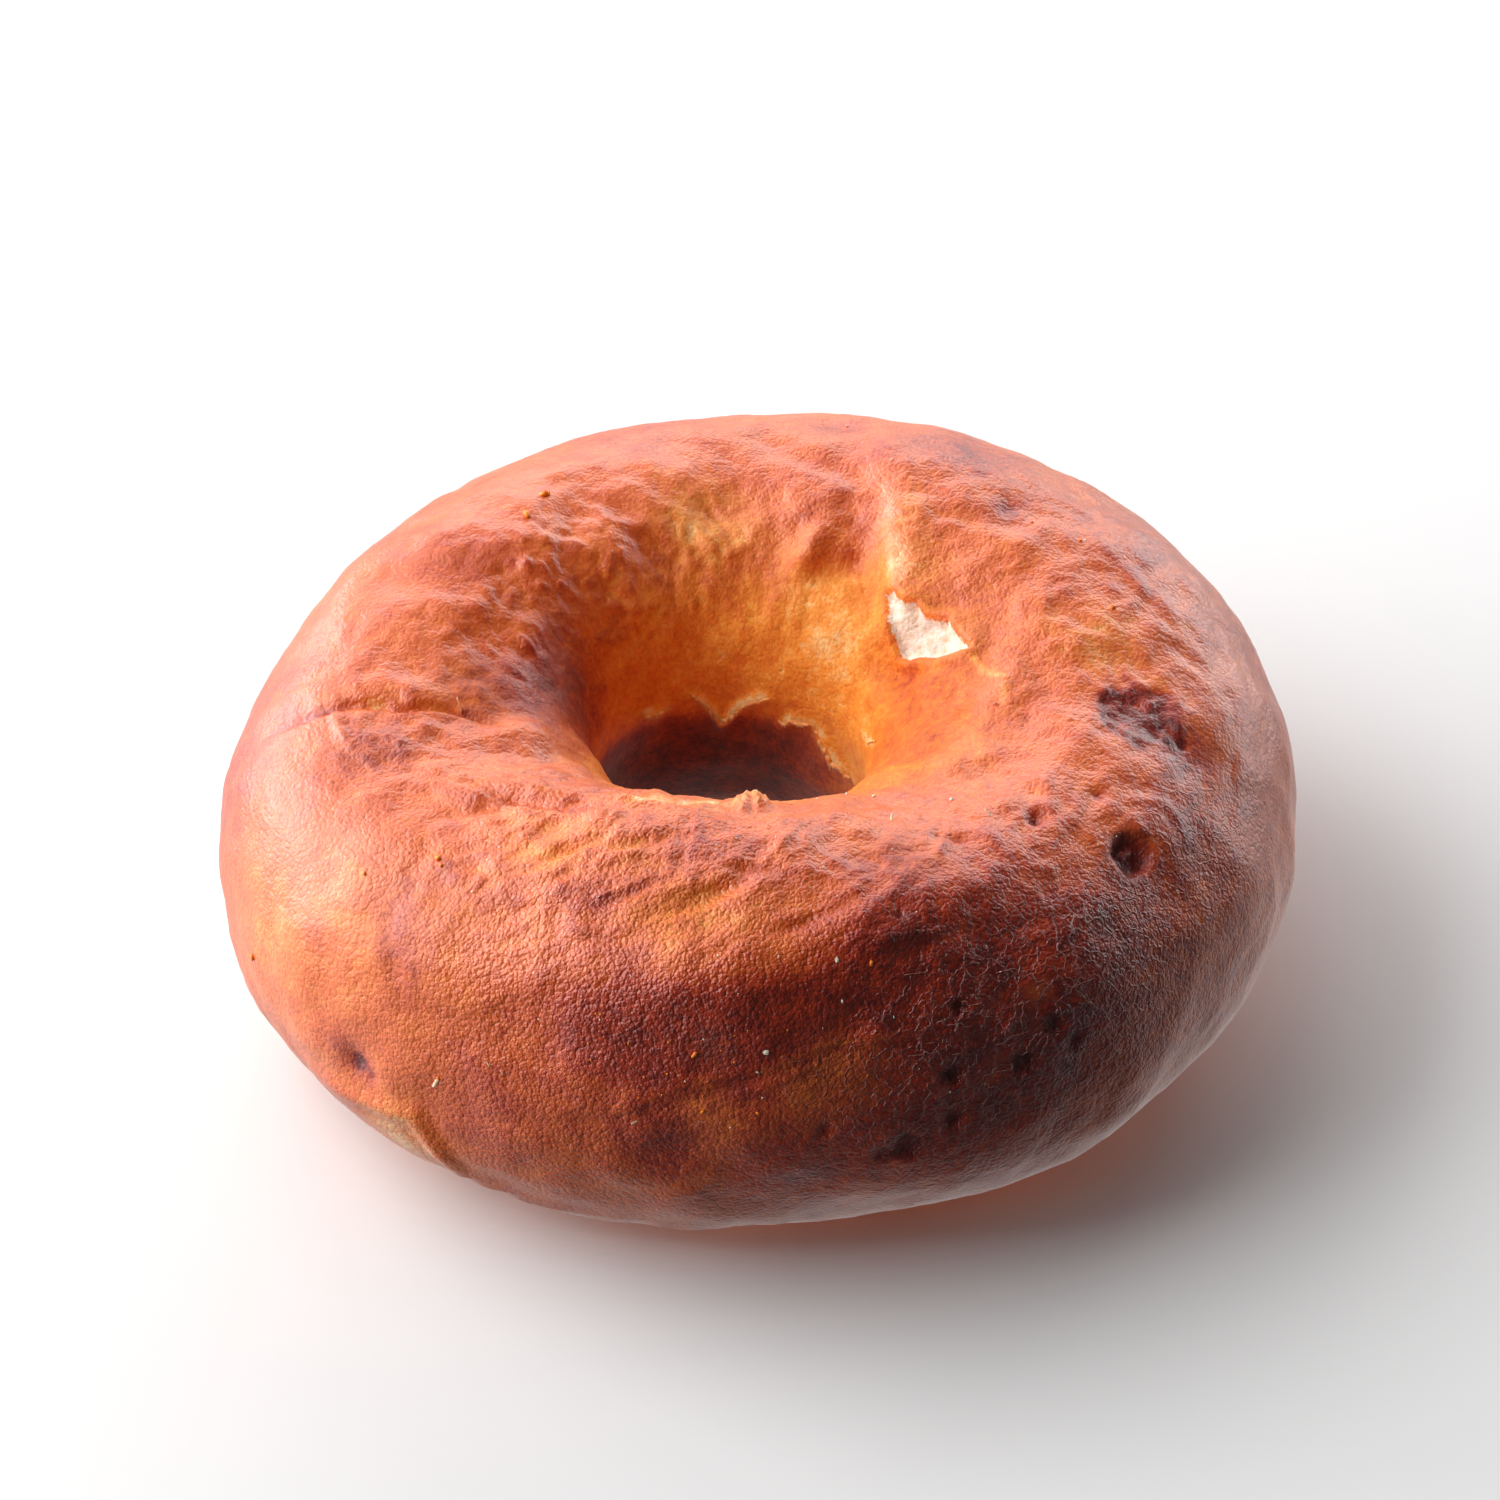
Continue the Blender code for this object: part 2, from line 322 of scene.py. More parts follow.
def bump(distance, radius):
    """1 at the middle, falling smoothly to 0 at 2 radii."""
    share = np.clip(distance / (2 * radius), 0, 1)
    return (1 - share**2) ** 3


def step_down(distance, radius, edge):
    """1 inside the radius and 0 outside it, over the width of an edge."""
    return 0.5 - 0.5 * np.tanh((distance - radius) / edge)


def noise_at(points, size, start, octaves=3):
    return np.array([noise.fractal(Vector(p), 1.0, 2.0, octaves) for p in points / size + start])


def wound(points, amount, size, start):
    """Shifts points by a smooth noise, so that what runs straight through them winds."""
    return points + amount * np.array([noise.noise_vector(Vector(p)) for p in points / size + start])


def route_distance(points, normals, route):
    """How far each point lies from a route, how far to its left, and what share along it."""
    stops = places(route)
    nearest = np.full(len(points), np.inf)
    side = np.zeros(len(points))
    share = np.zeros(len(points))
    for index, (start, end) in enumerate(zip(stops[:-1], stops[1:])):
        run = end - start
        part = np.clip((points - start) @ run / (run @ run), 0, 1)
        apart = points - start - part[:, None] * run
        distance = np.linalg.norm(apart, axis=1)
        closer = distance < nearest
        leftward = (np.cross(normals, run / np.linalg.norm(run)) * apart).sum(axis=1)
        nearest = np.where(closer, distance, nearest)
        side = np.where(closer, leftward, side)
        share = np.where(closer, (index + part) / (len(stops) - 1), share)
    return nearest, side, share


def ends_faded(share):
    return np.sin(np.pi * np.clip(share, 0.02, 0.98)) ** 0.5


def lap_relief(points, normals):
    distance, side, share = route_distance(points, normals, LAP_ROUTE)
    edge = LAP_EDGES[0] + (LAP_EDGES[1] - LAP_EDGES[0]) * np.clip(share * 2, 0, 1)
    step = np.tanh(side / edge) / 2
    return LAP_HEIGHT * step * bump(distance, LAP_FADE / 2) * ends_faded(share)


def inside_outline(points, outline, middle, reach):
    """How far inside a patch's outline each point lies, in metres, measured flat at its middle."""
    centre = places([middle])[0]
    angles = np.radians(middle)
    up = ring_normals(*angles)
    first = np.cross((0, 0, 1.0), up)
    first /= np.linalg.norm(first)
    axes = np.stack([first, np.cross(up, first)], axis=1)
    corners = (places(outline) - centre) @ axes
    flat = (points - centre) @ axes
    distance = np.full(len(points), np.inf)
    crossings = np.zeros(len(points), int)
    for start, end in zip(corners, np.roll(corners, -1, axis=0)):
        run = end - start
        part = np.clip((flat - start) @ run / (run @ run), 0, 1)
        distance = np.minimum(distance, np.linalg.norm(flat - start - part[:, None] * run, axis=1))
        spans = (start[1] > flat[:, 1]) != (end[1] > flat[:, 1])
        height = run[1] if run[1] else 1e-9
        crossings += spans & (flat[:, 0] < start[0] + run[0] * (flat[:, 1] - start[1]) / height)
    signed = np.where(crossings % 2, distance, -distance)
    near = np.linalg.norm(points - centre, axis=1) < reach
    return np.where(near, signed, -reach)


class Grid:
    """The ring's surface as a grid of points, with what the relief and the colours need of each."""

    def __init__(self):
        turns, rounds = np.radians(self.column_angles()), np.radians(self.row_angles())
        self.around, self.over = (a.ravel() for a in np.meshgrid(turns, rounds, indexing="ij"))
        self.base = plain_ring(self.around, self.over)
        self.normals = ring_normals(self.around, self.over)
        self.over_degrees = np.degrees(self.over)
        self.points = self.base

    def column_angles(self):
        """Angles round the hole, closest together in front."""
        even = np.arange(COLUMNS) * 360 / COLUMNS
        return even - np.degrees(FRONT_CROWDING * np.sin(np.radians(even - FRONT)))

    def row_angles(self):
        """Angles over the section from underneath and back, closest together where the crust shows."""
        fine = np.linspace(-90, 270, 3601)
        wrapped = fine % 360
        share = np.where((wrapped > SPARSE_FROM) & (wrapped < SPARSE_TO), SPARSE_SHARE, 1.0)
        total = np.concatenate([[0], np.cumsum(share[:-1])])
        return np.interp(np.linspace(0, total[-1], ROWS, endpoint=False), total, fine)

    def grain(self, stretch):
        """Coordinates whose noise runs round the ring, longer than wide by the stretch."""
        reach = OUTER_RADIUS / stretch
        run = self.over * SECTION_RADIUS
        return np.stack([reach * np.cos(self.around), reach * np.sin(self.around), run], axis=1)

    def slanted_grain(self, stretch, slant):
        """Like the grain, but in front its lines rise to the right."""
        coordinates = self.grain(stretch)
        coordinates[:, 2] -= slant * RING_MIDDLE * np.sin(self.around - np.radians(FRONT))
        return coordinates

    def radial_grain(self, stretch):
        """Coordinates whose noise runs into the hole."""
        reach = HOLE_RADIUS * 1.6
        run = self.over * SECTION_RADIUS / stretch
        return np.stack([reach * np.cos(self.around), reach * np.sin(self.around), run], axis=1)

    def distance(self, around, over):
        return np.linalg.norm(self.base - places([(around, over)])[0], axis=1)

    def zone(self, around, over, radius):
        return bump(self.distance(around, over), radius)

    def zones(self, rows):
        return sum(amount * self.zone(around, over, radius) for around, over, radius, amount in rows)

    def band(self, middle, spread):
        """1 at an angle over the section, falling away on both sides."""
        return np.exp(-(((self.over_degrees - middle) / spread) ** 2))

    def pit(self, around, over, radius):
        """1 inside a pit with a slightly uneven edge, and 0 outside it."""
        distance = self.distance(around, over)
        near = distance < 3 * radius
        uneven = np.zeros(len(distance))
        uneven[near] = noise_at(self.base[near], 1.4 * radius, around, 2)
        return step_down(distance + 0.35 * radius * uneven, radius, PIT_EDGE)

    def blister(self):
        """1 inside the collapsed blister, and 0 outside it."""
        distance = self.distance(*BLISTER)
        uneven = noise_at(self.base, 3.2 * MM, 66.0, 2)
        return step_down(distance + 2.4 * MM * uneven, BLISTER_RADIUS, BLISTER_EDGE)

    def nub(self):
        """Share of the nub's height, with its jagged tips."""
        distance = self.distance(*NUB)
        jagged = 1 + 0.9 * noise_at(self.base, 0.7 * MM, 81.0, 2)
        return bump(distance, NUB_RADIUS) * jagged

    def golden(self):
        """1 in the hole, where the crust is golden and dull, and 0 on the outside."""
        uneven = 10 * noise_at(self.base, 5 * MM, 77.0, 2)
        start = GOLDEN_FROM - GOLDEN_LEAN * np.cos(self.around)
        inside = 0.5 + 0.5 * np.tanh((self.over_degrees + uneven - start) / GOLDEN_EDGE)
        return np.clip(inside + self.zones(GOLDEN_ZONES), 0, 1)

    def spot(self, around, over):
        """A point of the finished surface, and which way is out, along the ring, and over it."""
        nearest = np.argmin(self.distance(around, over))
        out = self.normals[nearest]
        along = np.cross((0, 0, 1.0), self.base[nearest] * (1, 1, 0))
        along /= np.linalg.norm(along)
        return self.points[nearest], out, along, np.cross(out, along)


def main_relief(grid):
    """The relief that the solid has too."""
    points, normals = grid.base, grid.normals
    height = sum(tall * noise_at(points, size, start) for size, tall, start in SWELLINGS)
    size, tall, start = WRINKLES
    funnel = WRINKLED_LEAST + grid.band(WRINKLED_OVER, WRINKLED_SPREAD)
    height += tall * funnel * noise_at(points, size, start)
    for around, over, radius, tall in SPOTS:
        height += tall * grid.zone(around, over, radius)
    for width, tall, route in CREASES:
        distance, _, share = route_distance(points, normals, route)
        height += tall * bump(distance, width) * ends_faded(share)
    distance, _, share = route_distance(points, normals, BASE_RIM)
    height += BASE_RIM_HEIGHT * bump(distance, BASE_RIM_WIDTH) * ends_faded(share)
    return height + lap_relief(points, normals)


def valleys(points, size, start, octaves):
    """Noise of rounded lumps with narrow valleys between them, around 0."""
    return np.abs(noise_at(points, size, start, octaves)) - 0.22


def skin_relief(grid):
    """The small wrinkles and nodules of the skin."""
    top = grid.band(80, 70)
    funnel = grid.band(135, 28)
    puckered = np.clip(grid.zones(PUCKERED), 0, 1)
    crinkled = np.clip(grid.zones(CRINKLED), 0, 1)
    winding = wound(grid.slanted_grain(2.2, WRINKLE_SLANT), 2.5 * MM, 4 * MM, 50.0)
    height = MM * (0.03 + 0.03 * top + 0.12 * puckered) * noise_at(winding, 2.0 * MM, 5.0, 3)
    height += 0.5 * MM * puckered * valleys(winding, 3.4 * MM, 12.0, 3)
    height += 0.12 * MM * funnel * noise_at(grid.radial_grain(3.0), 1.6 * MM, 9.0, 3)
    height += 0.04 * MM * noise_at(grid.base, 1.1 * MM, 15.0, 1)
    height += 0.6 * MM * crinkled * valleys(wound(grid.base, 1.5 * MM, 4 * MM, 60.0), 2.2 * MM, 31.0, 2)
    return height


def marks_relief(grid, torn, nub):
    """Single marks: fine ridges, the blister, the pits, the nub and the torn patch."""
    height = np.zeros(len(grid.base))
    for width, tall, route in RIDGES:
        distance, _, share = route_distance(grid.base, grid.normals, route)
        height += tall * bump(distance, width) * ends_faded(share)

    folds = valleys(wound(grid.base, 1.2 * MM, 3 * MM, 70.0), 2.2 * MM, 35.0, 3)
    blister = grid.blister()
    height += blister * (0.9 * MM * folds - BLISTER_DEPTH)
    height += 0.5 * MM * blister * (1 - blister)

    for around, over, radius, depth, _ in PITS:
        pit = grid.pit(around, over, radius)
        height -= depth * pit * (1 - 0.8 * folds)
        height += 0.5 * depth * pit * (1 - pit)

    height += NUB_HEIGHT * nub
    crumb = noise_at(grid.base, 1.1 * MM, 91.0, 3)
    inside = 0.5 + 0.5 * np.tanh(torn / TORN_EDGE)
    height += inside * (0.2 * MM * crumb - TORN_DEPTH)
    return height + TORN_LIP * np.exp(-(((torn + TORN_LIP_WIDTH) / TORN_LIP_WIDTH) ** 2))


def crust_mesh(points):
    columns, rows = np.meshgrid(np.arange(COLUMNS), np.arange(ROWS), indexing="ij")
    next_column, next_row = (columns + 1) % COLUMNS, (rows + 1) % ROWS
    quads = ((columns, rows), (next_column, rows), (next_column, next_row), (columns, next_row))
    faces = np.stack([column * ROWS + row for column, row in quads], axis=-1).reshape(-1, 4)
    mesh = bpy.data.meshes.new("bagel_crust")
    mesh.vertices.add(len(points))
    mesh.vertices.foreach_set("co", points.ravel())
    mesh.loops.add(faces.size)
    mesh.loops.foreach_set("vertex_index", faces.ravel())
    mesh.polygons.add(len(faces))
    mesh.polygons.foreach_set("loop_start", np.arange(len(faces)) * 4)
    mesh.update(calc_edges=True)
    mesh.validate()
    mesh.shade_smooth()
    return mesh


def store(mesh, name, values):
    """Keeps a number or a vector for each point of the mesh, for its material to read."""
    kind, field = ("FLOAT", "value") if values.ndim == 1 else ("FLOAT_VECTOR", "vector")
    layer = mesh.attributes.new(name, kind, "POINT")
    layer.data.foreach_set(field, np.ascontiguousarray(values, np.float32).ravel())


# How well done the crust is, beyond the plain tone, and painted shade, sheen and highlight in the rows so marked:
# (around, over, radius, change)
TONE_ZONES = (
    (184, 127, 5 * MM, 0.12),  # left side of the funnel, with the next row: painted shade on the wall facing away from the lamps
    (176, 150, 7 * MM, 0.34),
    (350, 148, 7 * MM, 0.15),  # right side of the funnel
    (345, 62, 3.0 * MM, 0.22),
    (338, 58, 4.0 * MM, 0.12),
    (335, 48, 5.0 * MM, 0.15),
    (325, 46, 4.0 * MM, 0.10),
    (319, 38, 6.0 * MM, 0.10),
    (292, 54, 7.0 * MM, 0.08),
    (300, 60, 6.0 * MM, 0.06),
    (296, 82, 4.0 * MM, 0.08),
    (312, 52, 7.0 * MM, 0.14),  # the darkest side, low at the right
    (311, 32, 9.0 * MM, 0.22),
    (302, 46, 6.0 * MM, 0.12),
    (294, 28, 9.0 * MM, 0.18),
    (302, 14, 9.0 * MM, 0.18),
    (305, 36, 2.4 * MM, -0.25),  # red patch among them
    (320.8, 84, 1.8 * MM, 0.15),  # painted shade round the small pits on the right
    (309, 78, 5.0 * MM, 0.12),
    (300, 70, 8.0 * MM, 0.08),
    (291, 77, 4.0 * MM, 0.14),  # front of the top
    (273, 86, 4.0 * MM, 0.05),
    (264, 88, 3.0 * MM, 0.10),
    (271, 60, 5.0 * MM, -0.09),
    (157, 158, 6.0 * MM, 0.12),
    (250, 69, 3.0 * MM, 0.14),
    (258, 75, 2.6 * MM, 0.10),
    (253, 37, 5.0 * MM, 0.18),  # dark band across the front
    (262, 37, 6.0 * MM, 0.20),
    (273, 39, 6.0 * MM, 0.21),
    (284, 43, 7.0 * MM, 0.20),
    (294, 40, 6.0 * MM, 0.16),
    (256, 20, 7.0 * MM, 0.12),
    (270, 25, 8.0 * MM, 0.18),
    (226, 52, 2.6 * MM, 0.14),  # upright band at the left of the front
    (229, 42, 3.0 * MM, 0.14),
    (232, 32, 3.0 * MM, 0.12),
    (226.5, 0, 1.5 * MM, 0.20),  # scab
    (224, 5, 3.0 * MM, 0.12),
    (63, 81, 4.0 * MM, 0.12),  # back right
    (56, 66, 5.0 * MM, 0.12),
    (49, 74, 5.0 * MM, 0.12),
    (38, 86, 2.0 * MM, 0.15),
    (21, 66, 4.0 * MM, 0.10),
    (106, 58, 7.0 * MM, 0.08),
    (73, 70, 2.0 * MM, 0.20),
    (199, 76, 3.5 * MM, 0.10),  # by the left crease
    (203, 85, 3.5 * MM, 0.08),
    (150, 88, 10 * MM, 0.05),
    (128, 130, 7.0 * MM, 0.05),  # nodules at the back
    (150, 130, 6.0 * MM, 0.06),
    (14, 143, 3.0 * MM, 0.12),  # painted shade in the recess below the torn patch, with the next row
    (26, 149, 2.4 * MM, 0.12),
    (182, 12, 14 * MM, 0.16),  # left edge: painted lilac sheen, with its purple zone
    (242, 2, 6.0 * MM, 0.16),  # along the base
    (262, 2, 4.0 * MM, 0.20),
    (288, 2, 6.0 * MM, 0.20),
    (278, 356, 5.0 * MM, 0.16),
    (300, 355, 9.0 * MM, 0.14),
    (72, 128, 4.0 * MM, -0.08),  # paler, in the funnel
    (58, 138, 5.0 * MM, -0.12),
    (40, 150, 5.0 * MM, -0.10),
    (52, 103, 3.0 * MM, -0.10),
    (42, 117, 4.0 * MM, -0.17),
    (206, 35, 9.0 * MM, -0.08),  # tan side at the left; on the next row, the low left, partly painted highlight
    (219, 18, 9.0 * MM, -0.14),
    (221, 46, 4.0 * MM, -0.10),
    (253, 111, 2.2 * MM, -0.25),  # streak by the nub
    (264, 116, 2.2 * MM, -0.30),
    (240, 80, 5.0 * MM, -0.08),  # orange on the top
    (254, 84, 4.0 * MM, -0.09),
    (236, 40, 5.0 * MM, -0.07),
    (265, 61, 5.0 * MM, -0.12),
    (247, 57, 5.0 * MM, -0.06),
    (284, 26, 3.0 * MM, -0.12),  # orange below the long crease
    (276, 19, 3.0 * MM, -0.14),
    (268, 10, 4.0 * MM, -0.12),
    (98, 112, 5.0 * MM, -0.08),  # back of the funnel
    (4, 86, 6.0 * MM, -0.14),
    (188, 114, 5.0 * MM, 0.08),  # end of the left crease
    (208, 45, 7.0 * MM, 0.06),
    (273, 351, 9.0 * MM, 0.13),
    (271, 26, 6.0 * MM, 0.05),
    (241, 26, 6.0 * MM, 0.05),
    (98, 116, 5.0 * MM, -0.09),
    (232, 336, 6.0 * MM, -0.30),  # pale base
)
PLAIN_TONE = 0.43
DARKEST_TONE = 0.75  # of the plain crust
DARKEST_MARK = 0.94  # of the pits and the blister
BLISTER_CHANGE = 0.38

# Lines of another tone: (half width, change, route)
TONE_LINES = (
    (0.6 * MM, -0.22, ((190, 79), (191, 86))),  # where the left crease has opened
    (0.6 * MM, -0.22, ((193, 95), (194, 103))),
    # painted shade along the left crease's dark line
    (0.5 * MM, 0.20, ((187, 43), (189, 58), (190, 69), (190, 76))),
    (0.35 * MM, -0.12, ((256, 9), (265, 20), (272, 24), (276, 26), (281, 30), (286, 31), (293, 30), (302, 27))),
    (0.5 * MM, -0.40, ((133, 178.5), (127, 180), (119, 179))),  # torn skin in the hole
    (0.5 * MM, -0.45, ((108, 177), (101, 181), (95, 185), (86, 180), (78, 177), (70, 175.5))),
    (0.6 * MM, -0.40, ((66, 184), (58, 181), (50, 181))),
    (1.0 * MM, -0.45, ((46, 182), (40, 185), (34, 188), (24, 189))),
    (0.4 * MM, -0.30, ((16, 169), (8, 169), (2, 164))),
    (0.4 * MM, -0.25, ((7, 120), (0, 116), (356, 110), (347, 109))),
    (0.8 * MM, -0.22, ((244, 106), (252, 109), (259, 112), (266, 116))),
)

# The skin's lower edge in the hole, below which painted shade darkens the wall, except towards the right where the
# lamps light it
SHADE_FROM = 183
SHADE_SPREAD = 2.0
PAINTED_SHADE_CHANGE = 0.42
LIT_SIDE = 10
LIT_SPREAD = 38

# Where the crust is more purple than brown, and where purple paints the lilac sheen at the left edge and along the
# right rim: (around, over, radius, amount)
PURPLE_AND_SHEEN_ZONES = (
    (350, 75, 4.0 * MM, 0.8),
    (345, 61, 4.0 * MM, 0.4),
    # painted lilac sheen at the left edge
    (182, 12, 15 * MM, 0.6),
    (150, 40, 14 * MM, 0.25),
    # partly painted lilac sheen along the right rim, partly purple-brown crust
    (345, 40, 10 * MM, 0.5),
    (8, 48, 12 * MM, 0.6),
    (32, 48, 10 * MM, 0.4),
    (330, 15, 14 * MM, 0.5),
    (326, 57, 3.0 * MM, 0.7),
    (326, 38, 6.0 * MM, 0.4),
    (313, 46, 9.0 * MM, 0.3),
    (303, 22, 9.0 * MM, 0.3),
    (318, 5, 12 * MM, 0.4),
    (285, 0, 12 * MM, 0.4),
    (262, 358, 12 * MM, 0.3),
    (274, 86, 4.0 * MM, 0.2),
    (264, 88, 4.0 * MM, 0.3),
    (251, 71, 4.0 * MM, 0.4),
    (228, 48, 4.0 * MM, 0.2),
    (200, 77, 4.0 * MM, 0.6),
    (203, 86, 3.0 * MM, 0.4),
    (226, 0, 2.4 * MM, 0.8),
    (38, 86, 3.0 * MM, 0.5),
    (52, 76, 7.0 * MM, 0.5),
    (30, 70, 6.0 * MM, 0.3),
    (106, 58, 8.0 * MM, 0.4),
    (232, 100, 5.0 * MM, 0.2),
)


def tones(grid, skin):
    tone = np.full(len(grid.base), PLAIN_TONE)
    tone += grid.zones(TONE_ZONES)
    tone -= 0.2 * grid.band(165, 32)
    for width, change, route in TONE_LINES:
        distance, _, share = route_distance(grid.base, grid.normals, route)
        ragged = 1 + 0.8 * noise_at(grid.base, 1.6 * MM, 23.0, 2)
        tone += change * bump(distance, width) * ends_faded(share) * ragged
    tone = np.minimum(tone, DARKEST_TONE)
    # Painted shade inside the pits
    for around, over, radius, _, pit_shade in PITS:
        tone += pit_shade * grid.pit(around, over, radius)
    tone += BLISTER_CHANGE * grid.blister()
    # Painted shade on the hole's lower wall below the skin's edge, left off at the lit right side
    below = 0.5 + 0.5 * np.tanh((grid.over_degrees - SHADE_FROM) / SHADE_SPREAD)
    inside = 0.5 - 0.5 * np.tanh((grid.over_degrees - 225) / 12)
    turned = (np.degrees(grid.around) - LIT_SIDE + 180) % 360 - 180
    tone += PAINTED_SHADE_CHANGE * below * inside * (1 - np.exp(-((turned / LIT_SPREAD) ** 2)))
    tone += 0.06 * noise_at(grid.base, 14 * MM, 41.0, 2)
    tone += 0.07 * noise_at(grid.base, 4 * MM, 47.0, 3)
    return np.clip(tone + np.clip(0.4 * skin / MM, -0.10, 0.10), 0, DARKEST_MARK)


class Shader:
    """A material whose nodes are added by short calls."""

    def __init__(self, name):
        self.material = bpy.data.materials.new(name)
        self.material.use_nodes = True
        self.nodes = self.material.node_tree.nodes
        self.links = self.material.node_tree.links
        self.surface = self.nodes["Principled BSDF"]

    def add(self, kind, inputs=(), output=0, **settings):
        """Adds a node, sets its settings, fills its inputs with values or links, and returns an output."""
        node = self.nodes.new("ShaderNode" + kind)
        for key, value in settings.items():
            setattr(node, key, value)
        for socket, value in dict(inputs).items():
            self.fill(node.inputs[socket], value)
        return node.outputs[output]

    def fill(self, socket, value):
        if isinstance(value, bpy.types.NodeSocket):
            self.links.new(value, socket)
        else:
            socket.default_value = value

    def attribute(self, name, output="Fac"):
        return self.add("Attribute", output=output, attribute_name=name)

    def math(self, operation, first, second=0.0, third=0.0, clamp=False):
        inputs = {0: first, 1: second, 2: third}
        return self.add("Math", inputs, operation=operation, use_clamp=clamp)

    def sway(self, value, amount, base):
        """Adds to the base a noise value's distance from its middle, times the amount."""
        return self.math("MULTIPLY_ADD", self.math("SUBTRACT", value, 0.5), amount, base)

    def scaled(self, vector, factor):
        return self.add("VectorMath", {0: vector, "Scale": factor}, operation="SCALE")

    def noise(self, vector, scale, detail=2.0, roughness=0.5, distortion=0.0):
        inputs = {"Vector": vector, "Scale": scale, "Detail": detail, "Roughness": roughness}
        inputs["Distortion"] = distortion
        return self.add("TexNoise", inputs)

    def curled(self, vector, scale, amount):
        """Shifts a vector by a smooth noise, so that lines drawn with it curl."""
        inputs = {"Vector": vector, "Scale": scale, "Detail": 1.0}
        shift = self.add("TexNoise", inputs, output=1)
        centred = self.add("VectorMath", {0: shift, 1: (0.5, 0.5, 0.5)}, operation="SUBTRACT")
        return self.add("VectorMath", {0: self.scaled(centred, amount), 1: vector}, operation="ADD")

    def net(self, vector, scale, width):
        """1 on the edges of uneven cells and 0 inside them."""
        inputs = {"Vector": vector, "Scale": scale}
        edge = self.add("TexVoronoi", inputs, feature="DISTANCE_TO_EDGE")
        return self.math("SUBTRACT", 1.0, self.between(edge, 0.0, width))

    def ramp(self, value, stops, smooth=False):
        socket = self.add("ValToRGB", {"Fac": value})
        elements = socket.node.color_ramp.elements
        if smooth:
            socket.node.color_ramp.interpolation = "EASE"
        while len(elements) < len(stops):
            elements.new(0.5)
        for element, (position, colour) in zip(elements, stops):
            element.position = position
            element.color = (*colour, 1) if len(colour) == 3 else colour
        return socket

    def between(self, value, low, high):
        """0 below low, 1 above high and smooth between them."""
        inputs = {"Value": value, "From Min": low, "From Max": high}
        return self.add("MapRange", inputs, interpolation_type="SMOOTHSTEP")

    def mix(self, factor, first, second, blend="MIX"):
        inputs = {0: factor, 6: first, 7: second}
        return self.add("Mix", inputs, output=2, data_type="RGBA", blend_type=blend)

    def set(self, **values):
        for name, value in values.items():
            self.fill(self.surface.inputs[name.replace("_", " ")], value)


def colour(red, green, blue):
    """A colour given in 0 to 255 as it looks on a screen."""
    part = np.array((red, green, blue)) / 255
    return tuple(np.where(part < 0.04045, part / 12.92, ((part + 0.055) / 1.055) ** 2.4))


TONE_STOPS = (
    (0.0, colour(250, 206, 150)),
    (0.2, colour(240, 132, 52)),
    (0.35, colour(229, 105, 36)),
    (0.5, colour(210, 86, 28)),
    (0.65, colour(182, 55, 20)),
    (0.8, colour(136, 33, 15)),
    (1.0, colour(74, 20, 14)),
)
GOLDEN_STOPS = (
    (0.0, colour(255, 212, 140)),
    (0.2, colour(250, 156, 36)),
    (0.35, colour(236, 124, 12)),
    (0.5, colour(206, 92, 8)),
    (0.65, colour(160, 58, 8)),
    (0.8, colour(106, 34, 10)),
    (1.0, colour(44, 16, 8)),
)
CRUMB_STOPS = ((0.3, colour(226, 190, 156)), (0.5, colour(238, 216, 196)), (0.7, colour(245, 232, 218)))
PURPLE_AND_SHEEN_STOPS = (
    (0.25, colour(206, 98, 70)),
    (0.5, colour(168, 62, 50)),
    (0.7, colour(128, 36, 30)),
    (1.0, colour(76, 20, 18)),
)
RIDGE_COLOUR = (*colour(176, 96, 92), 1)


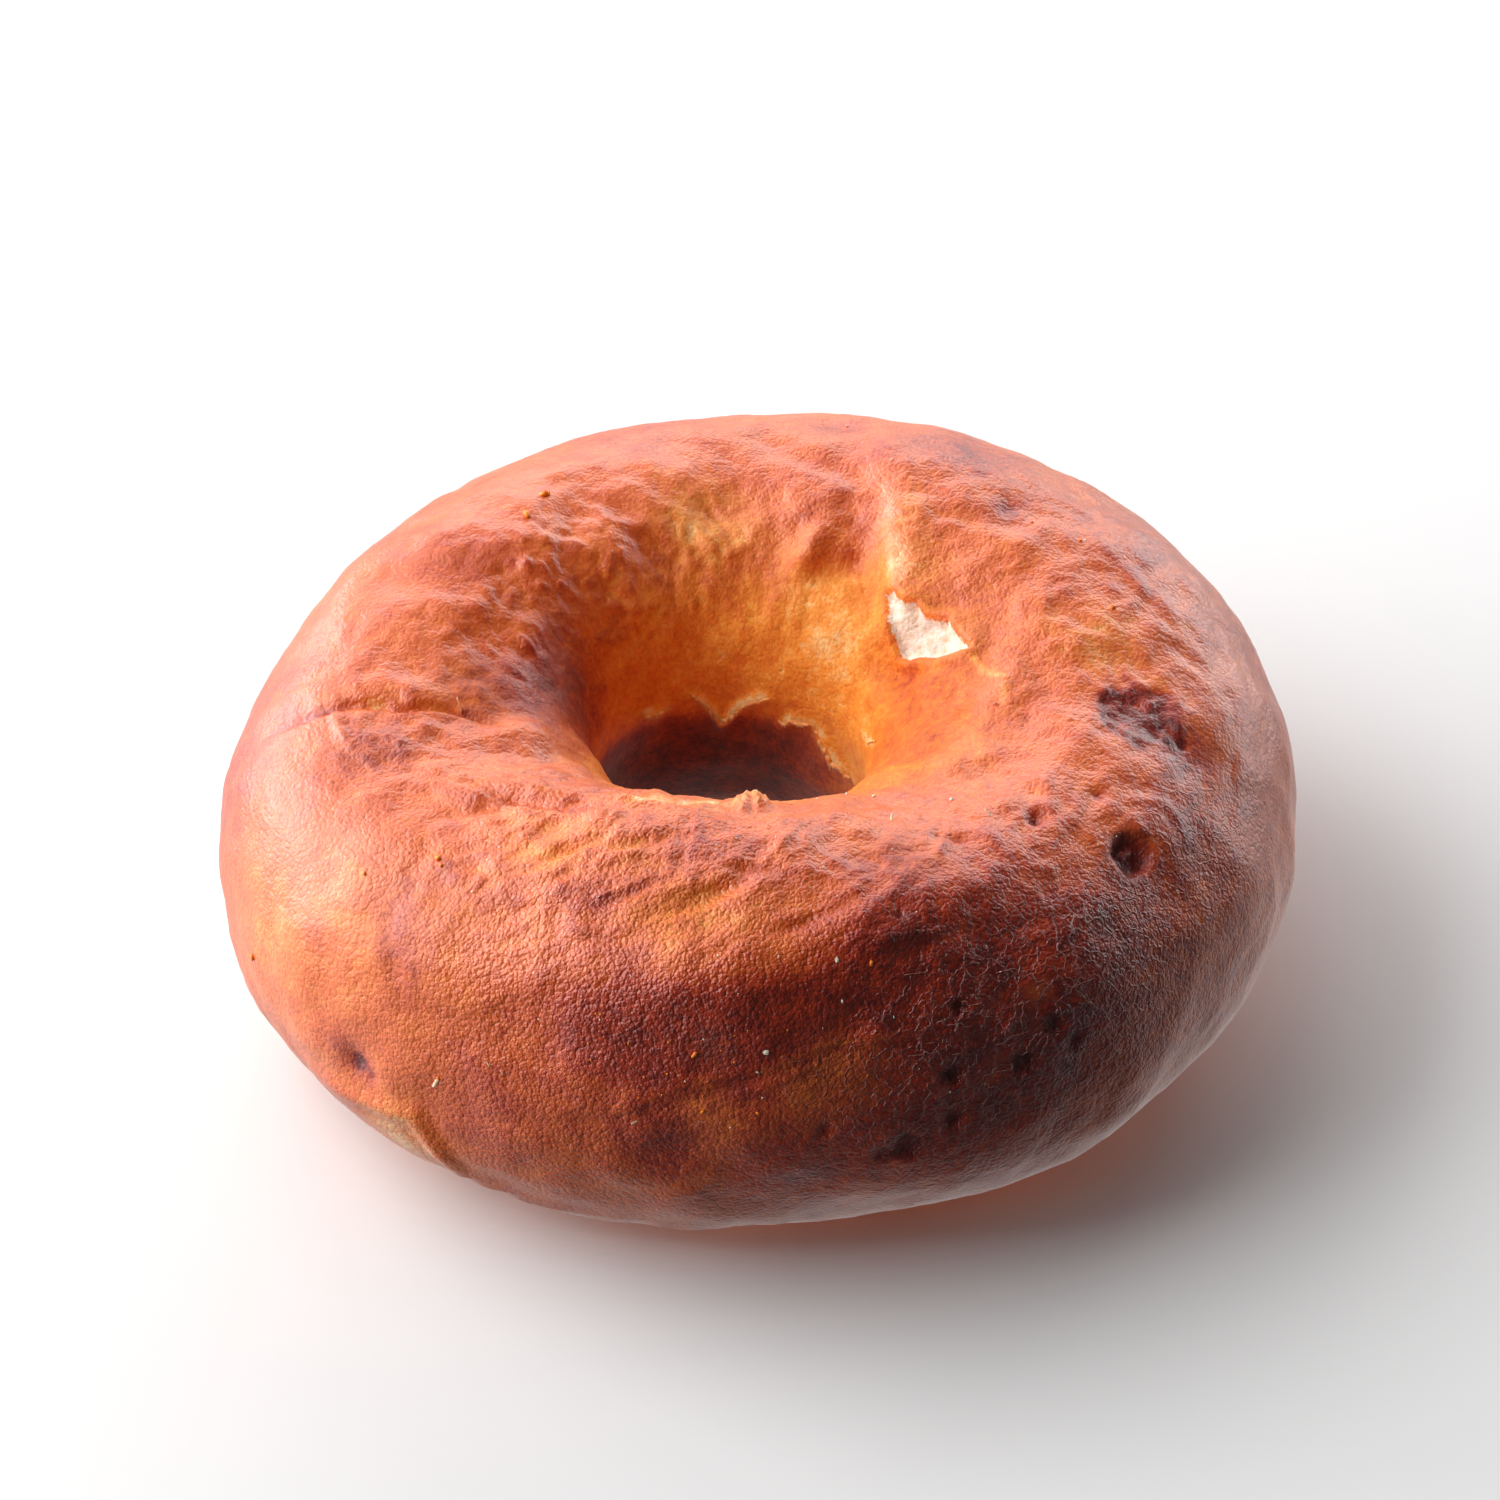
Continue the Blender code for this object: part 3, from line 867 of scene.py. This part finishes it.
def crust_material():
    shader = Shader("bagel_skin")
    place = shader.add("TexCoord", output="Object")
    per_mm = shader.scaled(place, 1000.0)
    grain = shader.scaled(shader.attribute("grain", "Vector"), 1000.0)
    rough = shader.attribute("rough")

    mottle = shader.noise(per_mm, 0.4, 5.0, 0.65)
    fibres = shader.noise(grain, 2.2, 3.0, 0.6, 0.3)
    wrinkles = shader.noise(per_mm, 1.1, 3.0, 0.55)
    pebbles = shader.noise(per_mm, 2.6, 2.0, 0.5)
    domes = shader.add("TexVoronoi", {"Vector": per_mm, "Scale": 2.0}, feature="F1")
    domes = shader.math("MULTIPLY", domes, domes)
    grit = shader.add("TexVoronoi", {"Vector": per_mm, "Scale": 3.6}, feature="F1")
    tone = shader.sway(mottle, 0.40, shader.attribute("tone"))
    tone = shader.sway(fibres, 0.20, tone)
    tone = shader.sway(wrinkles, 0.28, tone)
    tone = shader.sway(pebbles, 0.22, tone)
    golden = shader.math("MULTIPLY", shader.attribute("golden"), 0.85)
    crust = shader.mix(golden, shader.ramp(tone, TONE_STOPS), shader.ramp(tone, GOLDEN_STOPS))

    # Purple-brown crust, with painted lilac sheen at the left edge and the right rim
    uneven = shader.sway(wrinkles, 1.6, shader.sway(mottle, 2.0, 0.55))
    purple_and_sheen = shader.math("MULTIPLY", shader.attribute("purple_and_sheen"), uneven, clamp=True)
    crust = shader.mix(purple_and_sheen, crust, shader.ramp(tone, PURPLE_AND_SHEEN_STOPS))

    curls = shader.net(shader.curled(per_mm, 0.9, 1.6), 0.55, 0.09)
    curls = shader.math("MULTIPLY", curls, shader.attribute("netted"), clamp=True)
    crust = shader.mix(shader.math("MULTIPLY", curls, 0.4), crust, RIDGE_COLOUR)

    torn = shader.sway(shader.noise(per_mm, 1.6, 3.0), 0.9, shader.attribute("torn"))
    torn = shader.between(torn, -0.08, 0.12)
    crumb = shader.ramp(shader.noise(per_mm, 1.2, 4.0), CRUMB_STOPS)

    height = shader.math("MULTIPLY_ADD", pebbles, 0.05, shader.math("MULTIPLY", fibres, 0.05))
    height = shader.math("MULTIPLY_ADD", domes, -0.14, height)
    height = shader.math("MULTIPLY_ADD", grit, -0.08, height)
    height = shader.math("MULTIPLY_ADD", wrinkles, 0.08, height)
    height = shader.math("MULTIPLY", height, rough)
    height = shader.math("MULTIPLY_ADD", curls, 0.11, height)
    relief = shader.add("Bump", {"Strength": 1.0, "Distance": MM, "Height": height})

    gloss = shader.math("MULTIPLY_ADD", shader.attribute("golden"), 0.5, 0.34)
    shader.set(
        Base_Color=shader.mix(torn, crust, crumb),
        Roughness=shader.math("MULTIPLY_ADD", torn, 0.35, gloss),
        Normal=relief,
        Specular_IOR_Level=0.7,
        Subsurface_Weight=0.1,
        Subsurface_Scale=0.0015,
        Subsurface_Radius=(1.0, 0.35, 0.15),
        Coat_Weight=0.10,
        Coat_Roughness=0.32,
        Sheen_Weight=0.06,
        Sheen_Roughness=0.25,
    )
    return shader.material


def bits_material(name, low, high, roughness):
    """A mottled material for small bits, between two colours."""
    shader = Shader(name)
    place = shader.add("TexCoord", output="Object")
    mottle = shader.noise(shader.scaled(place, 1000.0), 1.5, 2.0)
    shader.set(
        Base_Color=shader.ramp(mottle, ((0.3, low), (0.7, high))),
        Roughness=roughness,
        Subsurface_Weight=0.2,
        Subsurface_Scale=0.001,
    )
    return shader.material


def add_piece(name, mesh, material):
    piece = bpy.data.objects.new(name, mesh)
    bpy.context.scene.collection.objects.link(piece)
    mesh.materials.append(material)
    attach(piece, "root")
    return piece


def make_crust():
    grid = Grid()
    torn = inside_outline(grid.base, TORN_OUTLINE, TORN_MIDDLE, TORN_REACH)
    skin = skin_relief(grid)
    nub = grid.nub()
    height = main_relief(grid) + skin + marks_relief(grid, torn, nub)
    grid.points = grid.base + grid.normals * height[:, None]
    grid.points[:, 2] = np.maximum(grid.points[:, 2], 0)
    mesh = crust_mesh(grid.points)
    tip = (nub - 1.25) * NUB_HEIGHT
    store(mesh, "tone", tones(grid, skin) - 0.15 * nub)
    store(mesh, "torn", np.maximum(torn, tip) / MM)
    store(mesh, "golden", grid.golden())
    store(mesh, "grain", grid.slanted_grain(1.5, WRINKLE_SLANT))
    store(mesh, "rough", np.clip(PLAIN_ROUGHNESS + grid.zones(ROUGHENED), 0.1, 1.2))
    store(mesh, "purple_and_sheen", np.clip(grid.zones(PURPLE_AND_SHEEN_ZONES), 0, 1))
    store(mesh, "netted", np.clip(grid.zones(NETTED), 0, 1))
    crust = add_piece("bagel_crust", mesh, crust_material())
    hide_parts("bagel")
    return grid


def joined(name, parts, smooth=True):
    """One mesh of many small closed parts, each given as its points and faces."""
    points, faces, first = [], [], 0
    for part_points, part_faces in parts:
        points.extend(part_points)
        faces.extend([first + index for index in face] for face in part_faces)
        first += len(part_points)
    mesh = bpy.data.meshes.new(name)
    mesh.from_pydata(points, [], faces)
    mesh.validate()
    if smooth:
        mesh.shade_smooth()
    return mesh


def ball():
    shape = bmesh.new()
    bmesh.ops.create_icosphere(shape, subdivisions=1, radius=1)
    points = np.array([vertex.co[:] for vertex in shape.verts])
    faces = [[vertex.index for vertex in face.verts] for face in shape.faces]
    shape.free()
    return points, faces


def grain_parts(surface, rows, rng):
    """Uneven little grains that sit in the skin: rows of (around, over, radius in mm)."""
    points, faces = ball()
    for around, over, radius in rows:
        place, out, along, across = surface.spot(around, over)
        turn = rng.uniform(0, np.pi)
        long = along * np.cos(turn) + across * np.sin(turn)
        wide = np.cross(out, long)
        shape = points * rng.uniform(0.75, 1.2, 3) * (1.25, 0.9, 0.7)
        uneven = 1 + 0.5 * noise_at(points, 0.9, rng.uniform(0, 99), 2)
        spread = (shape * uneven[:, None]) @ np.stack([long, wide, out])
        yield place + (spread + out * 0.2) * radius * MM, faces


def tube(path, widths, thickness, ups):
    """A closed flat strip or round hair along a path: its points and faces."""
    sides = 6
    turns = np.arange(sides) * 2 * np.pi / sides
    runs = np.gradient(path, axis=0)
    runs /= np.linalg.norm(runs, axis=1, keepdims=True)
    flat = np.cross(ups, runs)
    flat /= np.linalg.norm(flat, axis=1, keepdims=True)
    raised = np.cross(runs, flat)
    wide = np.cos(turns)[None, :, None] * flat[:, None] * widths[:, None, None] / 2
    tall = np.sin(turns)[None, :, None] * raised[:, None] * thickness / 2
    points = (path[:, None] + wide + tall).reshape(-1, 3)
    count = len(path)
    faces = []
    for row in range(count - 1):
        for side in range(sides):
            after = (side + 1) % sides
            faces.append([row * sides + side, row * sides + after,
                          (row + 1) * sides + after, (row + 1) * sides + side])
    faces.append(list(range(sides))[::-1])
    faces.append([(count - 1) * sides + side for side in range(sides)])
    return points, faces


def blade_part(surface, around, over, length, width, heading, rise, curl):
    """A flake of skin with one end in the surface. The heading is from along the ring towards over it."""
    place, out, along, across = surface.spot(around, over)
    turn = np.radians(heading)
    ahead = along * np.cos(turn) + across * np.sin(turn)
    share = np.linspace(0, 1, 9)[:, None]
    lift = np.sin(np.radians(rise)) * share + curl * share**2
    path = place - out * 0.1 * MM + (ahead * np.cos(np.radians(rise)) * share + out * lift) * length * MM
    widths = width * MM * (0.35 + 0.65 * np.sin(np.pi * np.linspace(0.12, 0.9, 9)))
    side = np.cross(ahead, out)
    return tube(path, widths, 0.09 * MM, np.repeat(np.cross(side, ahead)[None] + ahead * 0.3, 9, axis=0))


def hair_part(surface, rng, around, over, length, heading, thickness):
    """A hair that lies on the surface and bends a little."""
    count = 14
    reach = OUTER_RADIUS * 0.8
    turn = np.radians(heading) + np.cumsum(rng.normal(0, 0.16, count))
    steps = length * MM / count
    arounds = around + np.degrees(np.cumsum(np.cos(turn)) * steps / reach)
    overs = over + np.degrees(np.cumsum(np.sin(turn)) * steps / SECTION_RADIUS)
    spots = [surface.spot(*angles) for angles in zip(arounds, overs)]
    path = np.array([place + out * 0.12 * MM for place, out, _, _ in spots])
    path[1:-1] = (path[:-2] + path[1:-1] * 2 + path[2:]) / 4
    outs = np.array([out for _, out, _, _ in spots])
    return tube(path, np.full(count, thickness * MM), thickness * MM, outs)


def torn_strip(surface, rng, route, width, stand):
    """A ragged edge of torn skin along a route in the hole, hanging from the wall."""
    stops = np.array(route, float)
    count = 12 * (len(stops) - 1) + 1
    share = np.linspace(0, len(stops) - 1, count)
    arounds = np.interp(share, np.arange(len(stops)), stops[:, 0])
    overs = np.interp(share, np.arange(len(stops)), stops[:, 1])
    spots = [surface.spot(*angles) for angles in zip(arounds, overs)]
    wall = np.array([spot[0] for spot in spots])
    outs = np.array([spot[1] for spot in spots])
    wall[1:-1] = (wall[:-2] + wall[1:-1] + wall[2:]) / 3
    ends = np.sin(np.pi * np.linspace(0.04, 0.96, count)) ** 0.5
    ragged = np.clip(rng.normal(1, 0.45, count), 0.2, 2) * ends * width * MM
    away = np.convolve(rng.uniform(0.4, 1.4, count), np.ones(3) / 3, "same") * stand * MM
    down = np.array((0, 0, -1.0))
    edge = wall + down * ragged[:, None] + outs * away[:, None]
    middle = wall + down * ragged[:, None] * 0.4 + outs * (away * 0.8)[:, None]
    thin = 0.12 * MM * outs
    layers = [wall - outs * 0.3 * MM, middle - thin, edge, middle + thin, wall + outs * 0.1 * MM]
    points = np.stack(layers, axis=1).reshape(-1, 3)
    sides = len(layers)
    faces = []
    for row in range(count - 1):
        for side in range(sides):
            after = (side + 1) % sides
            faces.append([row * sides + side, row * sides + after,
                          (row + 1) * sides + after, (row + 1) * sides + side])
    faces.append(list(range(sides))[::-1])
    faces.append([(count - 1) * sides + side for side in range(sides)])
    return points, faces


# Pale and yellow grains: (around, over, radius in mm)
PALE_GRAINS = (
    (283, 52, 0.23), (274, 29, 0.27), (283, 41, 0.15), (273, 24, 0.16), (302, 43, 0.12), (317, 30, 0.12),
    (301, 126, 0.20), (306, 118, 0.22), (316, 101, 0.20), (292, 122, 0.16), (73, 68, 0.18), (71, 71, 0.14),
    (26, 76, 0.16), (61, 88, 0.16),
)
YELLOW_GRAINS = (
    (129, 91.5, 0.50), (136.2, 97, 0.48), (287, 51, 0.30), (266, 28, 0.36), (267, 12, 0.28), (273, 12, 0.24),
    (226, 68, 0.34), (227.5, 67, 0.24), (219, 54, 0.26), (208, 6, 0.28), (11, 80, 0.30), (26, 78, 0.22),
    (237, 7, 0.2), (33, 84, 0.2),
)

# Flakes: (around, over, length in mm, width in mm, heading, rise, curl)
BLADES = (
    (194.2, 106, 1.9, 0.55, 250, 62, 0.1),
    (237, 7, 1.2, 0.4, 250, 15, 0.1),
    (243, 15, 1.3, 0.22, 110, 20, 0.1),
    (244.6, 14, 0.9, 0.2, 100, 25, 0.1),
    (349, 112, 0.8, 0.3, 200, 30, 0.2),
    (316, 86, 1.5, 0.25, 110, 10, 0.3),
    (301, 100, 0.8, 0.25, 60, 20, 0.2),
    (260, 9, 0.8, 0.25, 200, 25, 0.1),
)

# Torn edges of skin in the hole: (route, width in mm, how far it stands off in mm)
STRIPS = (
    (((133, 179), (127, 180), (119, 179)), 0.35, 0.2),
    (((109, 177), (102, 180), (95, 184), (89, 182)), 0.75, 0.3),
    (((89, 182), (82, 178), (70, 175)), 0.3, 0.2),
    (((66, 183), (58, 181), (50, 181)), 0.45, 0.25),
    (((47, 182), (40, 185), (34, 188), (24, 189)), 0.7, 0.3),
    (((16, 169), (8, 169), (2, 164)), 0.25, 0.15),
)

# Hairs: (around, over, length in mm, heading)
HAIRS = (
    (340, 52, 2.6, 262), (337.5, 45, 3.0, 268), (335, 34, 2.2, 280), (334, 47, 2.4, 250), (303, 34, 3.0, 300),
    (306, 41, 3.5, 40), (305, 40, 3.0, 160), (305, 40, 2.6, 250), (299, 24, 3.0, 340), (310, 28, 3.0, 120),
    (296, 34, 2.5, 20), (288, 14, 2.0, 60), (313, 20, 3.0, 200), (322, 30, 3.0, 260), (285, 118, 1.6, 95),
    (266, 8, 1.5, 30),
)
LOOSE_HAIRS = 46


def make_bits(surface):
    """The grains, flakes, torn edges and hairs, one piece for each kind."""
    rng = np.random.default_rng(SEED)
    pale = bits_material("crumb_bits", colour(236, 190, 130), colour(254, 240, 215), 0.6)
    white = bits_material("white_grains", colour(255, 226, 200), colour(255, 246, 232), 0.2)
    yellow = bits_material("yellow_grains", colour(240, 106, 10), colour(252, 144, 30), 0.35)
    skin = bits_material("torn_skin", colour(228, 122, 44), colour(255, 196, 120), 0.6)
    lilac = bits_material("skin_hairs", colour(168, 104, 98), colour(206, 158, 150), 0.5)
    dust = [(rng.uniform(232, 335), rng.uniform(8, 95), rng.uniform(0.06, 0.11)) for _ in range(46)]
    grains = joined("pale_grains", grain_parts(surface, PALE_GRAINS + tuple(dust), rng), False)
    add_piece("pale_grains", grains, white)
    dust = [(rng.uniform(236, 285), rng.uniform(10, 40), rng.uniform(0.08, 0.15)) for _ in range(34)]
    grains = joined("yellow_grains", grain_parts(surface, YELLOW_GRAINS + tuple(dust), rng))
    add_piece("yellow_grains", grains, yellow)
    add_piece("flakes", joined("flakes", [blade_part(surface, *row) for row in BLADES]), pale)
    strips = [torn_strip(surface, rng, *row) for row in STRIPS]
    add_piece("torn_skin", joined("torn_skin", strips), skin)
    loose = [
        (rng.normal(306, 14), rng.normal(26, 14), rng.uniform(0.8, 2.4), rng.uniform(0, 360))
        for _ in range(LOOSE_HAIRS)
    ]
    hairs = [hair_part(surface, rng, *row, rng.uniform(0.035, 0.06)) for row in HAIRS + tuple(loose)]
    add_piece("hairs", joined("hairs", hairs), lilac)


def make_floor():
    shader = Shader("pale_floor")
    place = shader.add("TexCoord", output="Object")
    grey = shader.noise(place, 6.0, 3.0)
    shader.set(
        Base_Color=shader.ramp(grey, ((0.3, (0.80, 0.80, 0.80)), (0.7, (0.84, 0.84, 0.84)))),
        Roughness=0.7,
    )
    mesh = bpy.data.meshes.new("floor")
    half = 3.0
    mesh.from_pydata([(-half, -half, 0), (half, -half, 0), (half, half, 0), (-half, half, 0)], [], [(0, 1, 2, 3)])
    floor = bpy.data.objects.new("floor", mesh)
    floor.location.z = -0.0001
    floor.visible_diffuse = False
    floor.visible_glossy = False
    bpy.context.scene.collection.objects.link(floor)
    mesh.materials.append(shader.material)


def make_light(name, around, elevation, distance, width, height, power):
    """A lamp with a flat rectangular face towards the bagel."""
    turn, lift = np.radians(around), np.radians(elevation)
    away = Vector((np.cos(lift) * np.cos(turn), np.cos(lift) * np.sin(turn), np.sin(lift)))
    lamp = bpy.data.lights.new(name, "AREA")
    lamp.shape = "RECTANGLE"
    lamp.size = width
    lamp.size_y = height
    lamp.energy = power
    light = bpy.data.objects.new(name, lamp)
    light.location = Vector((0, 0, 0.02)) + away * distance
    light.rotation_mode = "QUATERNION"
    light.rotation_quaternion = away.to_track_quat("Z", "Y")
    bpy.context.scene.collection.objects.link(light)


def make_lights():
    make_light("left_low", 178, 13, 0.9, 1.2, 0.4, 6.4)
    make_light("back_left", 142, 10, 0.9, 0.8, 0.3, 4.8)
    make_light("left_high", 174, 44, 0.9, 1.0, 0.6, 7.6)
    make_light("top", 145, 62, 0.9, 0.8, 0.8, 2.2)
    make_light("back", 84, 22, 0.9, 1.0, 0.5, 5.2)
    make_light("right", 42, 9, 0.9, 0.7, 0.3, 2.4)
    make_world()
    bpy.context.scene.view_settings.view_transform = "Standard"


def make_world():
    """A dim room whose floor, which the crust reflects, is pale towards the back."""
    world = bpy.data.worlds.new("studio")
    world.use_nodes = True
    nodes, links = world.node_tree.nodes, world.node_tree.links
    place = nodes.new("ShaderNodeTexCoord")
    parts = nodes.new("ShaderNodeSeparateXYZ")
    links.new(place.outputs["Generated"], parts.inputs[0])
    ranges = []
    for output, start, end, low, high in (
        ("Z", 0.12, -0.12, 0.0, 1.0),
        ("Y", -0.5, 0.6, FLOOR_FRONT, FLOOR_BACK),
        ("X", -0.3, -1.0, 0.0, FLOOR_LEFT),
    ):
        node = nodes.new("ShaderNodeMapRange")
        links.new(parts.outputs[output], node.inputs["Value"])
        node.interpolation_type = "SMOOTHSTEP"
        node.inputs["From Min"].default_value = start
        node.inputs["From Max"].default_value = end
        node.inputs["To Min"].default_value = low
        node.inputs["To Max"].default_value = high
        ranges.append(node.outputs[0])
    below, behind, left = ranges
    floor = nodes.new("ShaderNodeMath")
    links.new(behind, floor.inputs[0])
    links.new(left, floor.inputs[1])
    shine = nodes.new("ShaderNodeMath")
    shine.operation = "MULTIPLY_ADD"
    links.new(below, shine.inputs[0])
    links.new(floor.outputs[0], shine.inputs[1])
    shine.inputs[2].default_value = ROOM_LIGHT
    background = nodes["Background"]
    background.inputs["Color"].default_value = (1, 1, 1, 1)
    links.new(shine.outputs[0], background.inputs["Strength"])
    bpy.context.scene.world = world


def make_camera():
    lift = np.radians(CAMERA_ELEVATION)
    back = Vector((0, -np.cos(lift), np.sin(lift)))
    camera = bpy.data.objects.new("camera", bpy.data.cameras.new("camera"))
    camera.data.lens = CAMERA_LENS
    camera.data.sensor_width = CAMERA_SENSOR
    camera.location = Vector(CAMERA_AIM) + back * CAMERA_DISTANCE
    camera.rotation_mode = "QUATERNION"
    camera.rotation_quaternion = back.to_track_quat("Z", "Y")
    bpy.context.scene.collection.objects.link(camera)
    bpy.context.scene.camera = camera


make_bits(make_crust())
make_floor()
make_lights()
make_camera()
